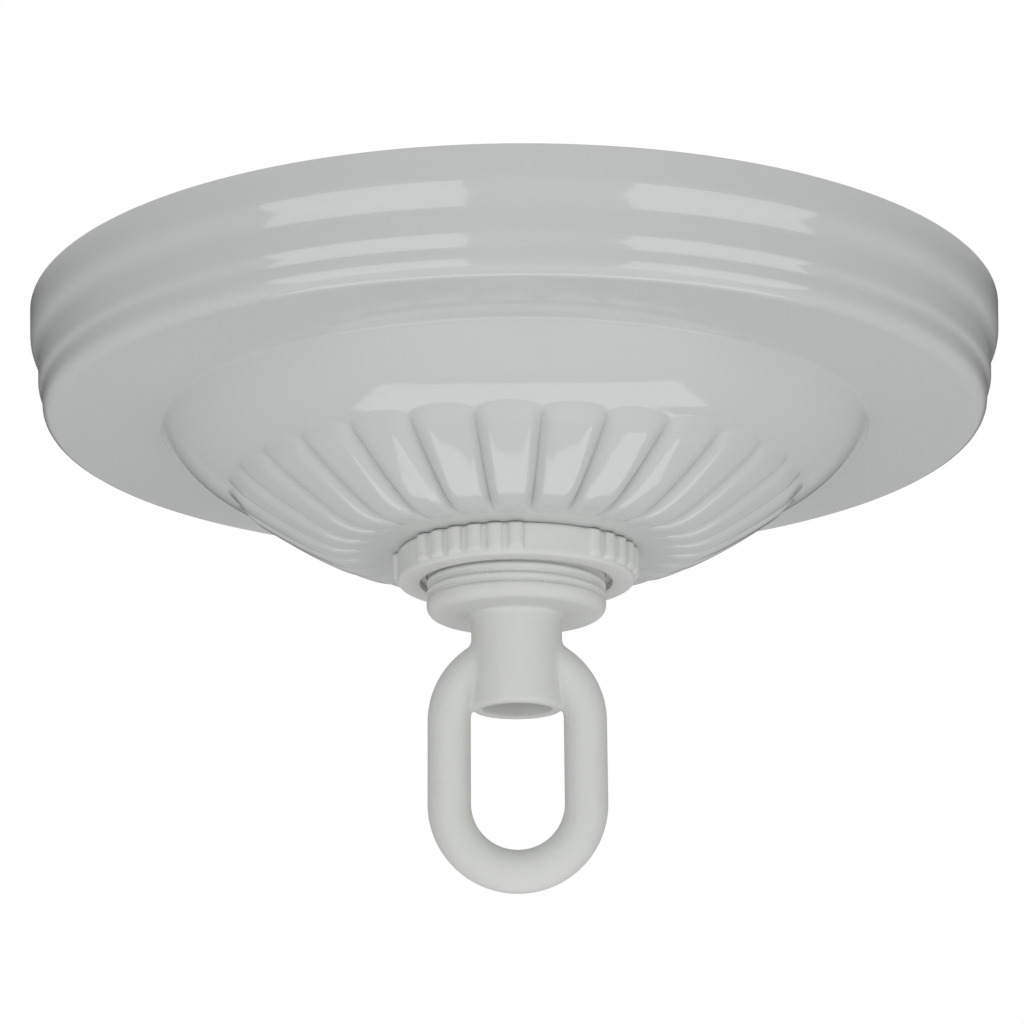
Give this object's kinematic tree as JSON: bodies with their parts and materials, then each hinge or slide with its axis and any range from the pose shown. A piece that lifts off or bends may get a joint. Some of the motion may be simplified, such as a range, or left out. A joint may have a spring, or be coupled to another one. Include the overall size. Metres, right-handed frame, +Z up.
{
  "type": "electrical ceiling rose",
  "caption": "White stamped ceiling canopy with a fluted bowl, held up by a ribbed screw ring on the threaded collar of a cast chain loop, with strap, pipe and box screws.",
  "frame": {"origin": "middle of the ceiling plane, on the canopy's axis and half way between the box screws", "axes": "+Z up into the ceiling, X along the strap and across the chain link, the picture is taken from -Y"},
  "size_m": [0.1334, 0.1334, 0.0957],
  "materials": {
    "canopy_enamel": "gloss",
    "cast_paint": "satin",
    "zinc_plate": "satin",
    "green_dye": "satin"
  },
  "bodies": {
    "hanger": {"hanging_loop": "cast_paint", "threaded_pipe": "zinc_plate", "hex_locknuts": "zinc_plate", "mounting_strap": "zinc_plate", "box_screws": "zinc_plate", "ground_screw": "green_dye"},
    "canopy_cover": {"canopy": "canopy_enamel"},
    "screw_ring": {"collar_ring": "cast_paint"}
  },
  "joints": [
    {"name": "canopy_drop", "type": "slide", "parent": "hanger", "child": "canopy_cover", "axis": [0, 0, -1], "range_m": [0, 0.00897]},
    {"name": "ring_turn", "type": "hinge", "parent": "canopy_cover", "child": "screw_ring", "pos_m": [0, 0, -0.0343], "axis": [0, 0, -1], "range_deg": [0, 2290]}
  ],
  "couplings": [
    {"joint": "ring_turn", "follows": "canopy_drop", "rad_per_m": 4453}
  ]
}
